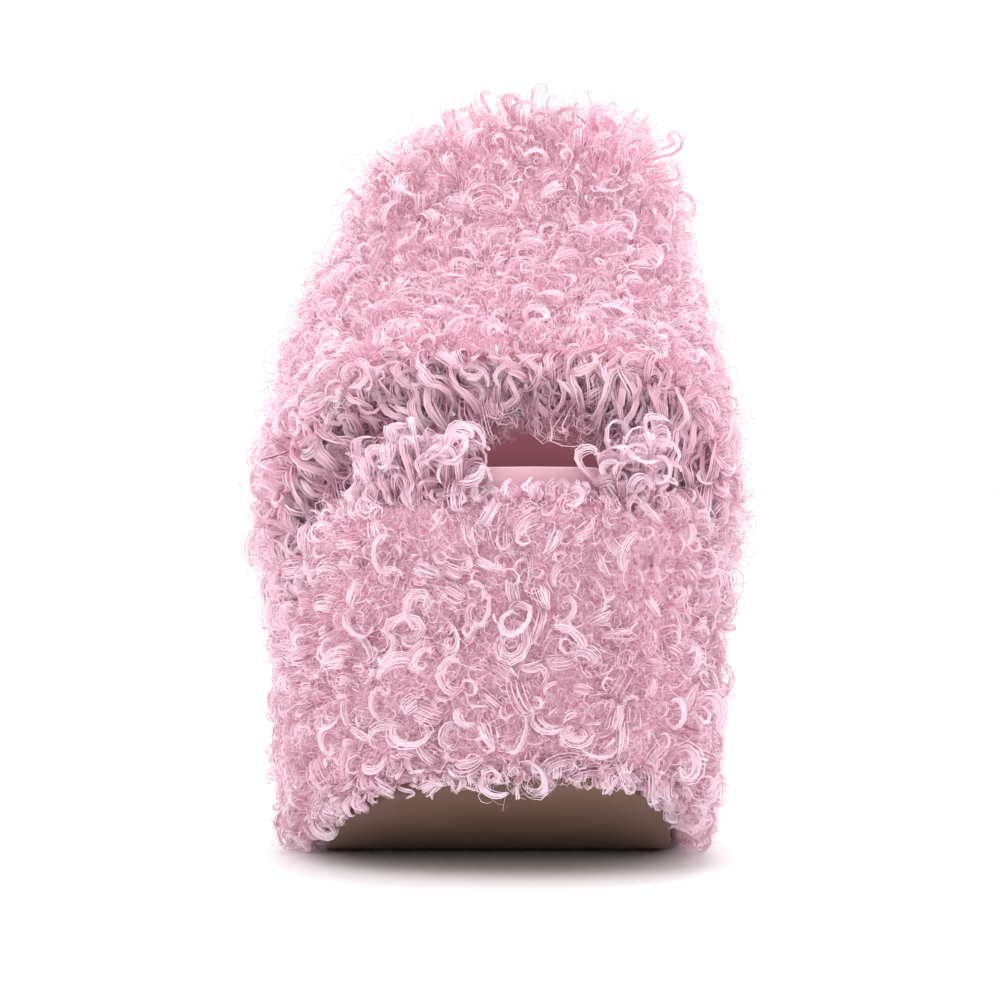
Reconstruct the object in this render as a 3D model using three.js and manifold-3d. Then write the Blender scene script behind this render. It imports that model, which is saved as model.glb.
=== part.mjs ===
// A right-foot open-toe platform slipper covered in curly fleece.
//
// Built the way a slip-lasted slide is: a foam platform wrapped in fleece strips whose lower
// edges are turned under, a rubber outsole cemented below, a padded footbed on top with a rand
// round its edge, and a wide, lined fleece vamp standing on the platform's upper edge.
//
// Units are millimetres, +Z is up, the toe points to -Y and the medial (big toe) side is +X.
// A "station" is the distance from the toe's tip towards the heel, along Y.
import * as THREE from "three";
import Module from "manifold-3d";
import { mergeVertices } from "three/addons/utils/BufferGeometryUtils.js";

const wasm = await Module();
wasm.setup();

// ---- Driving dimensions ----------------------------------------------------------------

const glueGap = 0.3; // clearance left between any two pieces

// Platform plan at its upper edge. Half widths are measured from the heel's centre line.
const soleLength = 246;
const toeTipX = 8; // how far the toe's tip sits towards the medial side
const heelBluntness = 2.3; // 2 is an ellipse, more is squarer
const heelSetback = 38; // from the heel's end to where the heel is widest
const waistSetback = { medial: 90, lateral: 84 }; // and to where the waist is narrowest
const medialSide = {
  toeBluntness: 3.8,
  ball: { station: 80, half: 46.5 },
  waist: { station: soleLength - waistSetback.medial, half: 38 },
  heel: { station: soleLength - heelSetback, half: 35 },
};
const lateralSide = {
  toeBluntness: 3.1,
  ball: { station: 96, half: 48.5 },
  waist: { station: soleLength - waistSetback.lateral, half: 42 },
  heel: { station: soleLength - heelSetback, half: 37 },
};

// Heights
const outsoleThickness = 3.6;
const ballPlatform = 74; // floor to the foam's top at the ball
const heelPlatform = 107; // floor to the foam's top at the heel
const lowerBlockThickness = 34;
const platformTaper = 2.5; // how much narrower the foot of the platform is, per side

// Toe spring and heel bevel
const toeSpring = 24; // lift of the outsole at the toe's tip
const topToeSpring = 18; // lift of the footbed at the toe's tip
const toeSpringLength = 76;
const toeSpringPower = 1.55;
const heelBevel = 3;
const heelBevelLength = 24;

// Footbed stack
const boardThickness = 2;
const footbedFoamThickness = 5.2;
const sockThickness = 1.2;
const randThickness = 1.2;

// Platform wrap
const wrapPile = 13.5; // backing and dense part of the fleece together
const wrapMargin = 13; // width of the edge turned under the platform
const marginThickness = 1.5; // fleece shorn down to its backing
const skiveWidth = 6; // band of the margin that thins towards its inner edge
const skivedThickness = 0.9; // at that edge
const wrapSeamSetback = 74; // from the heel's end to where the toe strip meets the heel strip
const wrapRise = 1.5; // how far the wrap covers the rand, in front of and behind the vamp
const wrapRiseRamp = 9; // length over which it rises
const wrapRiseMargin = 11; // kept between that ramp and the vamp
const pileRound = 6; // rounding of the pile at its upper and lower edges
const pileClearance = 2; // kept between the pile and the ground

// Vamp
const liningThickness = 1.2;
const vampFoamThickness = 2.2;
const vampPile = 12.5;
const edgeTapeWidth = 7;
const edgeTapeThickness = 1;
const bindingWidth = 1.6;
const frontEdge = { centre: 27, medial: 35, lateral: 42, apexX: 8, clearHeight: 28 };
const throatEdge = { centre: 146, medial: 131, lateral: 139, apexX: 19, clearHeight: 84 };
const medialSquareness = 3.2;
const lateralSquareness = 2.9;
const instepFlattening = 1.3; // over 1, the rise eases off towards the throat

// Outsole tread
const grooveDepth = 1.2;
const grooveWidth = 2.6;
const groovePitch = 7;
const grooveInset = 8; // plain border round the tread
const ballTread = { from: 86, to: 128 };
const heelTread = { from: soleLength - 56, to: soleLength - 28 };

// Mesh fineness
const ringSamples = 84;
const archSteps = 20;
const vampSteps = 7;
const roundSteps = 3;

// ---- Height lines ------------------------------------------------------------------------

const clamp = (value, low, high) => Math.min(high, Math.max(low, value));
const mix = (a, b, share) => a + (b - a) * share;
const ease = (share) => share * share * (3 - 2 * share);
const yOf = (station) => station - soleLength / 2;
const stationOf = (y) => y + soleLength / 2;

function sprung(station, lift) {
  return lift * Math.pow(clamp(1 - station / toeSpringLength, 0, 1), toeSpringPower);
}

// Underside of the outsole.
function floorLine(station) {
  const share = clamp(1 + (station - soleLength) / heelBevelLength, 0, 1);
  return sprung(station, toeSpring) + heelBevel * share * share;
}

// Top of the foam platform, where the vamp and the footbed sit.
function platformTop(station) {
  const start = medialSide.ball.station;
  const share = clamp((station - start) / (medialSide.heel.station - start), 0, 1);
  return mix(ballPlatform, heelPlatform, ease(share)) + sprung(station, topToeSpring);
}

const outsoleTop = (station) => floorLine(station) + outsoleThickness;
const marginFloor = (station) => outsoleTop(station) + glueGap;
const marginTop = (station) => marginFloor(station) + marginThickness;
const skivedTop = (station) => marginFloor(station) + skivedThickness;
const blockFloor = (station) => marginTop(station) + glueGap;
const blockJoint = (station) => blockFloor(station) + lowerBlockThickness;
const upperBlockFloor = (station) => blockJoint(station) + glueGap;
const boardFloor = (station) => platformTop(station) + glueGap;
const boardTop = (station) => boardFloor(station) + boardThickness;
const foamFloor = (station) => boardTop(station) + glueGap;
const foamTop = (station) => foamFloor(station) + footbedFoamThickness;
const sockFloor = (station) => foamTop(station) + glueGap;
const footbedTop = (station) => sockFloor(station) + sockThickness;

// How far the platform's tapered wall stands inside the plan outline at a height.
function wallInset(station, height) {
  const top = platformTop(station);
  return platformTaper * clamp((top - height) / (top - blockFloor(station)), 0, 1);
}

// ---- Plan outline --------------------------------------------------------------------------

// Half width of one side: an eased run through its named widths, closed by a blunt curve at
// the toe, which starts at tipX, and by another at the heel.
function halfWidth({ toeBluntness, ball, waist, heel }, tipX, station) {
  if (station <= ball.station) {
    const left = 1 - clamp(station / ball.station, 0, 1);
    return mix(tipX, ball.half, Math.pow(1 - Math.pow(left, toeBluntness), 1 / toeBluntness));
  }
  if (station >= heel.station) {
    const past = clamp((station - heel.station) / (soleLength - heel.station), 0, 1);
    return heel.half * Math.pow(1 - Math.pow(past, heelBluntness), 1 / heelBluntness);
  }
  const [from, to] = station < waist.station ? [ball, waist] : [waist, heel];
  return mix(from.half, to.half, ease((station - from.station) / (to.station - from.station)));
}

const medialX = (station) => halfWidth(medialSide, toeTipX, station);
const lateralX = (station) => -halfWidth(lateralSide, -toeTipX, station);

// The outline seen from above, anticlockwise from the toe's tip: medial side, heel, lateral side.
// Shares t and 1 - t of it lie at the same station.
class SoleOutline extends THREE.Curve {
  getPoint(t, target = new THREE.Vector2()) {
    const onMedial = t <= 0.5;
    const share = onMedial ? 2 * t : 2 - 2 * t;
    const station = (soleLength * (1 - Math.cos(Math.PI * share))) / 2;
    return target.set(onMedial ? medialX(station) : lateralX(station), yOf(station));
  }
}

const outline = new SoleOutline();

// A point of the outline moved outwards by offset; share runs once round from the toe's tip.
function edgePoint(share, offset) {
  const reach = 1 / (3 * ringSamples); // either way along the outline, to find its direction
  const at = (t) => outline.getPoint(((t % 1) + 1) % 1);
  const along = at(share + reach).sub(at(share - reach)).normalize();
  const here = at(share);
  return new THREE.Vector2(here.x + along.y * offset, here.y - along.x * offset);
}

// The share of the outline, between two others, at which it passes a station.
function shareAtStation(station, toeEnd, heelEnd) {
  let [near, far] = [toeEnd, heelEnd];
  while (Math.abs(far - near) > 1e-7) {
    const middle = (near + far) / 2;
    const before = stationOf(outline.getPoint(middle).y) < station;
    [near, far] = before ? [middle, far] : [near, middle];
  }
  return near;
}

// ---- Mesh building ---------------------------------------------------------------------------

function geometryOf(points, triangles) {
  const geometry = new THREE.BufferGeometry();
  geometry.setAttribute("position", new THREE.Float32BufferAttribute(points.flat(), 3));
  geometry.setIndex(triangles.flat());
  return geometry;
}

// Two triangles for a quad whose corners run anticlockwise as seen from outside.
const quad = (a, b, c, d) => [[a, b, c], [a, c, d]];

// A slab over the whole sole between two height lines, its edge moved in by inset from the
// platform's wall.
function slab(lowLine, highLine, inset) {
  const half = ringSamples / 2;
  const points = [];
  const corner = (share, line) => {
    const wallStation = stationOf(edgePoint(share, 0).y);
    const p = edgePoint(share, -inset - wallInset(wallStation, line(wallStation)));
    points.push([p.x, p.y, line(stationOf(p.y))]);
    return points.length - 1;
  };
  const rungs = (line) =>
    Array.from({ length: half + 1 }, (_, i) => {
      const medial = corner(i / ringSamples, line);
      const lateral = i === 0 || i === half ? medial : corner(1 - i / ringSamples, line);
      return { medial, lateral };
    });
  const low = rungs(lowLine);
  const high = rungs(highLine);
  const triangles = [];
  for (let i = 0; i < half; i++) {
    const [lowHere, lowNext, highHere, highNext] = [low[i], low[i + 1], high[i], high[i + 1]];
    triangles.push(...quad(highHere.medial, highNext.medial, highNext.lateral, highHere.lateral));
    triangles.push(...quad(lowHere.lateral, lowNext.lateral, lowNext.medial, lowHere.medial));
    triangles.push(...quad(lowHere.medial, lowNext.medial, highNext.medial, highHere.medial));
    triangles.push(...quad(lowNext.lateral, lowHere.lateral, highHere.lateral, highNext.lateral));
  }
  return geometryOf(points, triangles.filter((triangle) => new Set(triangle).size === 3));
}

// A body that follows the outline from one share of it to another, or all the way round.
// section(station) lists its corners as { offset, line }, anticlockwise as seen looking along
// the outline; offsets are measured outwards from the platform's wall.
function band(section, from, to) {
  const closed = to - from >= 1;
  const inner = Array.from({ length: 2 * ringSamples }, (_, i) => i / ringSamples + Math.floor(from));
  const between = inner.filter((share) => share > from && share < to);
  const shares = closed ? [from, ...between] : [from, ...between, to];
  const rings = shares.map((share) => {
    const wallStation = stationOf(edgePoint(share, 0).y);
    return section(wallStation).map(({ offset, line }) => {
      const p = edgePoint(share, offset - wallInset(wallStation, line(wallStation)));
      return [p.x, p.y, line(stationOf(p.y))];
    });
  });
  const size = rings[0].length;
  const triangles = [];
  for (let i = 0; i < (closed ? rings.length : rings.length - 1); i++) {
    const here = i * size;
    const next = ((i + 1) % rings.length) * size;
    for (let k = 0; k < size; k++) {
      const l = (k + 1) % size;
      triangles.push(...quad(here + k, next + k, next + l, here + l));
    }
  }
  if (!closed) {
    const last = (rings.length - 1) * size;
    const station = stationOf(edgePoint(from, 0).y);
    const flat = section(station).map(({ offset, line }) => new THREE.Vector2(offset, line(station)));
    for (const [a, b, c] of THREE.ShapeUtils.triangulateShape(flat, [])) {
      triangles.push([a, b, c], [last + c, last + b, last + a]);
    }
  }
  return geometryOf(rings.flat(), triangles);
}

// ---- Vamp surface ------------------------------------------------------------------------------

// A point of the surface round the foot. turn runs from 0 at the medial foot to 1 at the lateral
// foot, and along from 0 at the toe opening to 1 at the throat.
function archPoint(turn, along) {
  const angle = Math.PI * turn;
  const [side, sideX, squareness] =
    turn < 0.5 ? ["medial", medialX, medialSquareness] : ["lateral", lateralX, lateralSquareness];
  const footStation = mix(frontEdge[side], throatEdge[side], along);
  const centreStation = mix(frontEdge.centre, throatEdge.centre, along);
  const rise = 1 - Math.pow(clamp(1 - along, 0, 2), instepFlattening);
  const apexX = mix(frontEdge.apexX, throatEdge.apexX, rise);
  const apexHeight = footbedTop(centreStation) + mix(frontEdge.clearHeight, throatEdge.clearHeight, rise);
  const out = Math.pow(Math.abs(Math.cos(angle)), 2 / squareness);
  const up = Math.pow(Math.sin(angle), 2 / squareness);
  return new THREE.Vector3(
    mix(apexX, sideX(footStation), out),
    yOf(mix(footStation, centreStation, Math.sin(angle))),
    mix(footbedTop(footStation), apexHeight, up),
  );
}

// That surface moved outwards. The first and last steps across are its feet, which go straight
// down beside the rand to the platform's top.
function vampPoint(step, along, offset) {
  const reach = 0.01; // share of the surface used to find its direction
  const onFoot = step === 0 || step === archSteps;
  const turn = clamp((step - 1) / (archSteps - 2), 0, 1);
  const acrossEnd = archPoint(clamp(turn + reach, 0, 1), along);
  const across = acrossEnd.sub(archPoint(clamp(turn - reach, 0, 1), along));
  const lengthways = archPoint(turn, along + reach).sub(archPoint(turn, along - reach));
  const normal = lengthways.cross(across);
  if (turn === 0 || turn === 1) {
    normal.z = 0;
  }
  const point = archPoint(turn, along).addScaledVector(normal.normalize(), offset);
  if (onFoot) {
    point.z = boardFloor(stationOf(point.y));
  }
  return point.toArray();
}

// Lengths along the vamp as shares of it.
const vampLength = throatEdge.centre - frontEdge.centre;
const gapShare = glueGap / vampLength;
const tapeEnd = edgeTapeWidth / vampLength;
const foamStart = tapeEnd + gapShare;
const bindingStart = -gapShare - bindingWidth / vampLength;

// Where the layers' rows of points lie, the same for all so that the layers run parallel.
const frontRows = [bindingStart, -gapShare, 0, tapeEnd];
const foamRow = (step) => mix(foamStart, 1 - foamStart, step / vampSteps);
const foamRows = Array.from({ length: vampSteps + 1 }, (_, step) => foamRow(step));
const vampRows = [...frontRows, ...foamRows, ...frontRows.map((row) => 1 - row).reverse()];

// A layer of the vamp between two offsets, over a range of along that starts and ends on rows.
function vampLayer([innerOffset, outerOffset], from, to) {
  const rows = vampRows.filter((row) => row >= from && row <= to);
  const steps = rows.length - 1;
  const points = [];
  for (const offset of [innerOffset, outerOffset]) {
    for (const row of rows) {
      for (let k = 0; k <= archSteps; k++) {
        points.push(vampPoint(k, row, offset));
      }
    }
  }
  const inner = (i, k) => i * (archSteps + 1) + k;
  const outer = (i, k) => inner(i + steps + 1, k);
  const triangles = [];
  for (let i = 0; i < steps; i++) {
    const j = i + 1;
    for (let k = 0; k < archSteps; k++) {
      triangles.push(...quad(outer(i, k), outer(j, k), outer(j, k + 1), outer(i, k + 1)));
      triangles.push(...quad(inner(i, k), inner(i, k + 1), inner(j, k + 1), inner(j, k)));
    }
    triangles.push(...quad(inner(i, 0), inner(j, 0), outer(j, 0), outer(i, 0)));
    const end = archSteps;
    triangles.push(...quad(inner(i, end), outer(i, end), outer(j, end), inner(j, end)));
  }
  for (let k = 0; k < archSteps; k++) {
    const l = k + 1;
    triangles.push(...quad(inner(0, k), outer(0, k), outer(0, l), inner(0, l)));
    triangles.push(...quad(inner(steps, l), outer(steps, l), outer(steps, k), inner(steps, k)));
  }
  return geometryOf(points, triangles);
}

// ---- Booleans ----------------------------------------------------------------------------------

function solidOf(geometry) {
  const bare = geometry.clone();
  bare.deleteAttribute("normal");
  bare.deleteAttribute("uv");
  const merged = mergeVertices(bare);
  const vertProperties = new Float32Array(merged.attributes.position.array);
  const triVerts = new Uint32Array(merged.index.array);
  return new wasm.Manifold(new wasm.Mesh({ numProp: 3, vertProperties, triVerts }));
}

function geometryOfSolid(solid) {
  const mesh = solid.getMesh();
  const geometry = new THREE.BufferGeometry();
  geometry.setAttribute("position", new THREE.BufferAttribute(mesh.vertProperties, 3));
  geometry.setIndex(new THREE.BufferAttribute(mesh.triVerts, 1));
  return geometry;
}

// ---- Pieces ------------------------------------------------------------------------------------

const fleece = { color: 0xe6b6c6, roughness: 0.95, metalness: 0 };
const microsuede = { color: 0xdcaab9, roughness: 0.85, metalness: 0 };
const liningCloth = { color: 0xb5808e, roughness: 0.9, metalness: 0 };
const rubber = { color: 0x6f5a4c, roughness: 0.55, metalness: 0 };
const foam = { color: 0xf1eee8, roughness: 0.9, metalness: 0 };
const fibreboard = { color: 0xb9a17c, roughness: 0.9, metalness: 0 };
const tape = { color: 0xf4f2ee, roughness: 0.8, metalness: 0 };

const object = new THREE.Group();

function addPiece(name, geometry, material) {
  const piece = new THREE.Mesh(geometry, new THREE.MeshStandardMaterial(material));
  piece.name = name;
  object.add(piece);
}

// Rubber outsole, with straight grooves under the ball and under the heel.
function outsole() {
  const border = solidOf(slab(() => -outsoleThickness, () => outsoleThickness, grooveInset));
  let solid = solidOf(slab(floorLine, outsoleTop, 0));
  for (const { from, to } of [ballTread, heelTread]) {
    for (let station = from; station <= to; station += groovePitch) {
      const groove = new THREE.BoxGeometry(soleLength, grooveWidth, 2 * grooveDepth);
      groove.translate(0, yOf(station), 0);
      solid = solid.subtract(solidOf(groove).intersect(border));
    }
  }
  return geometryOfSolid(solid);
}

// How far the wrap's upper edge rises above the platform's top at a station.
function riseAt(station) {
  const vampStart = Math.min(frontEdge.medial, frontEdge.lateral) - wrapRiseMargin;
  const vampEnd = Math.max(throatEdge.medial, throatEdge.lateral) + wrapRiseMargin;
  const clear = Math.max(vampStart - station, station - vampEnd);
  return wrapRise * ease(clamp(clear / wrapRiseRamp, 0, 1));
}

// Corners of a quarter circle about (offset, line), from an angle in quarter turns.
function roundCorner(offset, line, firstQuarter) {
  return Array.from({ length: roundSteps + 1 }, (_, i) => {
    const angle = (Math.PI / 2) * (firstQuarter + i / roundSteps);
    const lift = pileRound * Math.sin(angle);
    return { offset: offset + pileRound * Math.cos(angle), line: (station) => line(station) + lift };
  });
}

// The fleece wrap's section: a flat margin turned under the platform and a thick pile beside it.
function wrapSection(wallStation) {
  const rise = riseAt(wallStation);
  const top = (station) => platformTop(station) + rise;
  const pileFloor = (station) => floorLine(station) + pileClearance;
  const roundOffset = wrapPile - pileRound;
  return [
    { offset: -wrapMargin, line: marginFloor },
    { offset: glueGap, line: marginFloor },
    { offset: glueGap + marginThickness, line: pileFloor },
    ...roundCorner(roundOffset, (station) => pileFloor(station) + pileRound, -1),
    ...roundCorner(roundOffset, (station) => top(station) - pileRound, 0),
    { offset: glueGap, line: top },
    { offset: glueGap, line: marginTop },
    { offset: skiveWidth - wrapMargin, line: marginTop },
    { offset: -wrapMargin, line: skivedTop },
  ];
}

// The rand's section: a thin upright strip round the footbed.
function randSection() {
  const inner = -glueGap - randThickness;
  return [
    { offset: inner, line: boardFloor },
    { offset: -glueGap, line: boardFloor },
    { offset: -glueGap, line: footbedTop },
    { offset: inner, line: footbedTop },
  ];
}

addPiece("outsole", outsole(), rubber);
addPiece("bottom_filler", slab(marginFloor, marginTop, wrapMargin + glueGap), foam);
addPiece("platform_lower_block", slab(blockFloor, blockJoint, 0), foam);
addPiece("platform_upper_block", slab(upperBlockFloor, platformTop, 0), foam);

const footbedInset = randThickness + 2 * glueGap;
addPiece("insole_board", slab(boardFloor, boardTop, footbedInset), fibreboard);
addPiece("footbed_foam", slab(foamFloor, foamTop, footbedInset), foam);
addPiece("sock_cover", slab(sockFloor, footbedTop, footbedInset), microsuede);
addPiece("footbed_rand", band(randSection, 0, 1), microsuede);

// The wrap's two strips meet at a seam on each side of the waist.
const wrapSeamStation = soleLength - wrapSeamSetback;
const toeStripEnd = wrapSeamStation - glueGap / 2;
const heelStripEnd = wrapSeamStation + glueGap / 2;
const medialShare = (station) => shareAtStation(station, 0, 0.5);
const lateralShare = (station) => shareAtStation(station, 1, 0.5);
const toeStrip = band(wrapSection, lateralShare(toeStripEnd) - 1, medialShare(toeStripEnd));
const heelStrip = band(wrapSection, medialShare(heelStripEnd), lateralShare(heelStripEnd));
addPiece("wrap_toe_strip", toeStrip, fleece);
addPiece("wrap_heel_strip", heelStrip, fleece);

// The vamp's layers, each outside the one before.
const layerOutside = ([, outer], thickness) => [outer + glueGap, outer + glueGap + thickness];
const liningLayer = layerOutside([0, 0], liningThickness);
const foamLayer = layerOutside(liningLayer, vampFoamThickness);
const tapeLayer = layerOutside(liningLayer, edgeTapeThickness);
const fleeceLayer = layerOutside(foamLayer, vampPile);
const bindingLayer = [liningLayer[0], foamLayer[1]];

addPiece("vamp_lining", vampLayer(liningLayer, 0, 1), liningCloth);
addPiece("vamp_foam", vampLayer(foamLayer, foamStart, 1 - foamStart), foam);
addPiece("toe_edge_tape", vampLayer(tapeLayer, 0, tapeEnd), tape);
addPiece("throat_edge_tape", vampLayer(tapeLayer, 1 - tapeEnd, 1), tape);
addPiece("vamp_fleece", vampLayer(fleeceLayer, 0, 1), fleece);
addPiece("toe_edge_binding", vampLayer(bindingLayer, bindingStart, -gapShare), microsuede);
addPiece("throat_edge_binding", vampLayer(bindingLayer, 1 + gapShare, 1 - bindingStart), microsuede);

// The origin is on the ground, under the middle of the slipper.
const extent = new THREE.Box3().setFromObject(object);
const middle = extent.getCenter(new THREE.Vector3());
object.position.set(-middle.x, -middle.y, -extent.min.z);

export default object;
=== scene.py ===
import math

import bmesh
import bpy
import numpy as np
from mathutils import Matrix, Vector
from mathutils.bvhtree import BVHTree
from mathutils.noise import noise, noise_vector, seed_set


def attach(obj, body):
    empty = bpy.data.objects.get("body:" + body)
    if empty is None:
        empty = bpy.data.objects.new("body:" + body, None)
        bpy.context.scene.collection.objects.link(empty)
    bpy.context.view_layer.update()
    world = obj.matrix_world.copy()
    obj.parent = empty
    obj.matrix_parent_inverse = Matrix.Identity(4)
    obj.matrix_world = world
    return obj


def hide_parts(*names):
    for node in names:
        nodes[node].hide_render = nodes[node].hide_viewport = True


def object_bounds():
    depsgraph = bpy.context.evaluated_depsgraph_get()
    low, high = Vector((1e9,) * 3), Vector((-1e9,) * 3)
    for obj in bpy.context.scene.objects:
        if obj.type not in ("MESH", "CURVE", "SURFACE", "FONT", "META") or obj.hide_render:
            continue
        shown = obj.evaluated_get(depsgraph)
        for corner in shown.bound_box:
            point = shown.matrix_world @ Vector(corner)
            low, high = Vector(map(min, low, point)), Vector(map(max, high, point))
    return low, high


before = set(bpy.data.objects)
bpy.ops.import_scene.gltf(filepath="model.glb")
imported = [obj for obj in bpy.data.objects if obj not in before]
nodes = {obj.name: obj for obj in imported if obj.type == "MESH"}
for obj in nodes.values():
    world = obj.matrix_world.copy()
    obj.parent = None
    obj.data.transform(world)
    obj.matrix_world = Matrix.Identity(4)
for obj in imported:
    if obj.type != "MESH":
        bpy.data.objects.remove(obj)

# A fluffy open-toe platform slipper for the right foot. Toe at -Y, big toe side at +X, metres.
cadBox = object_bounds()
mm = 0.001
draws = np.random.default_rng(20)
seed_set(20)  # noise_vector follows the clock without it


def deselectAll():
    bpy.ops.object.select_all(action="DESELECT")


def makeActive(piece):
    deselectAll()
    piece.select_set(True)
    bpy.context.view_layer.objects.active = piece


def applyModifier(piece, kind, **settings):
    makeActive(piece)
    modifier = piece.modifiers.new(kind.title(), kind)
    for key, value in settings.items():
        setattr(modifier, key, value)
    bpy.ops.object.modifier_apply(modifier=modifier.name)


# ---- shader helpers

def newMaterial(name):
    material = bpy.data.materials.new(name)
    material.use_nodes = True
    tree = material.node_tree
    return material, tree, tree.nodes["Principled BSDF"]


def addNode(tree, kind, **values):
    node = tree.nodes.new(kind)
    for key, value in values.items():
        if hasattr(node, key):
            setattr(node, key, value)
        else:
            node.inputs[key.replace("_", " ").title()].default_value = value
    return node


def addRamp(tree, factor, stops):
    ramp = addNode(tree, "ShaderNodeValToRGB")
    elements = ramp.color_ramp.elements
    while len(elements) < len(stops):
        elements.new(0.5)
    for element, (position, colour) in zip(elements, stops):
        element.position = position
        element.color = (*colour, 1)
    tree.links.new(factor, ramp.inputs["Fac"])
    return ramp.outputs["Color"]


def mixColours(tree, blend, amount, first, second):
    mix = addNode(tree, "ShaderNodeMix", data_type="RGBA", blend_type=blend)
    for socket, value in ((mix.inputs[0], amount), (mix.inputs[6], first), (mix.inputs[7], second)):
        if isinstance(value, bpy.types.NodeSocket):
            tree.links.new(value, socket)
        else:
            socket.default_value = value if isinstance(value, float) else (*value, 1)
    return mix.outputs[2]


# ---- studio

studio = {
    "cameraDistance": 1.0,  # to the ball of the foot
    "cameraSide": 0.001,
    "cameraHeight": 0.099,
    "toeToBall": 0.09,
    "lens": 136,
    "lookDown": 0.38,  # degrees
    "worldStrength": 1.02,
    "floorSize": 60,
    "floorShade": 0.99,
    "aim": (0, 0, 0.1),
    "lamps": {
        "keyLight": {"place": (-0.3, -1.0, 1.1), "watts": 5.2, "size": 0.9},
        "topLight": {"place": (0.05, 0.25, 1.2), "watts": 8.0, "size": 0.7},
        "leftLight": {"place": (-1.1, 0, 0.45), "watts": 2.2, "size": 0.9},
        "rightLight": {"place": (1.1, 0, 0.45), "watts": 2.2, "size": 0.9},
    },
}


def addAreaLight(name, facts):
    light = bpy.data.lights.new(name, "AREA")
    light.energy = facts["watts"]
    light.shape = "DISK"
    light.size = facts["size"]
    lamp = bpy.data.objects.new(name, light)
    lamp.location = facts["place"]
    towards = Vector(studio["aim"]) - Vector(facts["place"])
    lamp.rotation_euler = towards.to_track_quat("-Z", "Y").to_euler()
    bpy.context.scene.collection.objects.link(lamp)


def buildStudio():
    scene = bpy.context.scene
    ballY = cadBox[0][1] + studio["toeToBall"]
    camera = bpy.data.objects.new("camera", bpy.data.cameras.new("camera"))
    camera.data.lens = studio["lens"]
    away = ballY - studio["cameraDistance"]
    camera.location = (studio["cameraSide"], away, studio["cameraHeight"])
    camera.rotation_euler = (math.radians(90 - studio["lookDown"]), 0, 0)
    scene.collection.objects.link(camera)
    scene.camera = camera
    scene.view_settings.view_transform = "Standard"

    world = bpy.data.worlds.new("paleStudio")
    world.use_nodes = True
    background = world.node_tree.nodes["Background"]
    background.inputs["Color"].default_value = (1, 1, 1, 1)
    background.inputs["Strength"].default_value = studio["worldStrength"]
    scene.world = world

    for name, facts in studio["lamps"].items():
        addAreaLight(name, facts)

    bpy.ops.mesh.primitive_plane_add(size=studio["floorSize"], location=(0, 0, 0))
    floor = bpy.context.object
    floor.name = "studioFloor"
    material, tree, shader = newMaterial("paleFloor")
    shader.inputs["Base Color"].default_value = (*[studio["floorShade"]] * 3, 1)
    shader.inputs["Roughness"].default_value = 0.6
    floor.data.materials.append(material)
    print("studio ready")


# ---- fleece

fleece = {
    "undercoatShare": 0.52,  # of the pile's depth that is filled with dense wool
    "backingDepth": 2 * mm,  # nearer the core than this is backing, with no pile
    "pileFadeIn": 4 * mm,
    "facetSize": 5 * mm,
    "lumpHeight": 2.6 * mm,
    "lumpSize": 16 * mm,
    "flowSize": 19 * mm,  # neighbouring locks lie the same way over about this distance
    "puffSize": 14 * mm,  # and rise together over about this one
    "puffShare": 0.6,
    "hangBias": 0.35,
    "looseness": 0.45,  # how much less the locks hold together away from the toe end
    "crestFrom": 165 * mm,  # from this height up the wool stands longer
    "crestBand": 25 * mm,
    "crestFill": 0.8,
    "paintedHazeTint": 0.72,  # behind the toe's face the wool's tint is drawn towards this pale one: painted haze of washed-out light
    "paintedHazeShare": 0.6,
    "toeFace": 8 * mm,  # the depth of that face, and of the fade behind it
    "toeFade": 30 * mm,
    "floorClearance": 0.4 * mm,
    "fibreWidth": 0.23 * mm,
    "pieceTriangles": 180000,
}
# Kinds of wool. Lengths are in mm and angles in degrees; a pair is the least and the most of it.
# Those with a radius wind round an axis of their own. Those with a curl hang and curl at the tip.
bigLocks = {
    "name": "fleece_locks", "spacing": 5.7, "tries": 9000, "fibres": 18, "steps": 11,
    "radius": (2.3, 4.8), "flatten": 0.6, "turns": (0.6, 1.25), "lean": (20, 100),
    "climb": (0.8, 3.6), "crestRise": 1.6, "halfWidth": (1.0, 2.6), "depth": 0.45,
    "tints": (0.5, 1.0),
}
smallLocks = {
    "name": "fleece_curls", "spacing": 4.2, "tries": 16000, "fibres": 6, "steps": 8,
    "radius": (1.2, 2.6), "flatten": 0.9, "turns": (0.6, 1.2), "lean": (0, 100),
    "climb": (1.5, 4.4), "crestRise": 1.4, "halfWidth": (0.25, 0.8), "depth": 0.3,
    "tints": (0.3, 1.0),
}
# Fringe, frizz and brow curls hang into the shaded toe opening: their low tints, deeper pink, are
# painted shade, with random tone within.
fringe = {
    "name": "fleece_fringe", "count": 300, "fibres": 16, "steps": 12, "length": (10, 24),
    "curl": (60, 400), "coil": (1.5, 3.2), "halfWidth": (0.5, 1.5), "depth": 0.5, "stray": 0.6,
    "tints": (0.1, 0.8),
}
frizz = {
    "name": "fleece_frizz", "count": 2000, "overGap": 450, "fibres": 3, "steps": 10,
    "radius": (1.0, 2.6), "turns": (0.8, 1.6), "climb": (1, 15), "crestRise": 0,
    "halfWidth": (0.8, 2.2), "depth": 1.0, "stray": 0.6, "tints": (0.0, 0.35),
}
browCurls = {
    "name": "fleece_brow_curls", "count": 300, "fibres": 17, "steps": 11, "radius": (1.9, 4.0),
    "turns": (0.6, 1.2), "climb": (2, 9), "crestRise": 0, "halfWidth": (0.5, 1.6), "depth": 0.5,
    "stray": 0.5, "tints": (0.1, 0.85),
}
tufts = {
    "name": "fleece_tufts", "count": 190, "fibres": 18, "steps": 11, "radius": (2.0, 4.2),
    "turns": (0.5, 1.1), "climb": (3, 14), "crestRise": 0, "halfWidth": (0.6, 1.7), "depth": 0.6,
    "stray": 0.5, "tints": (0.6, 1.0),
}
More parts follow.
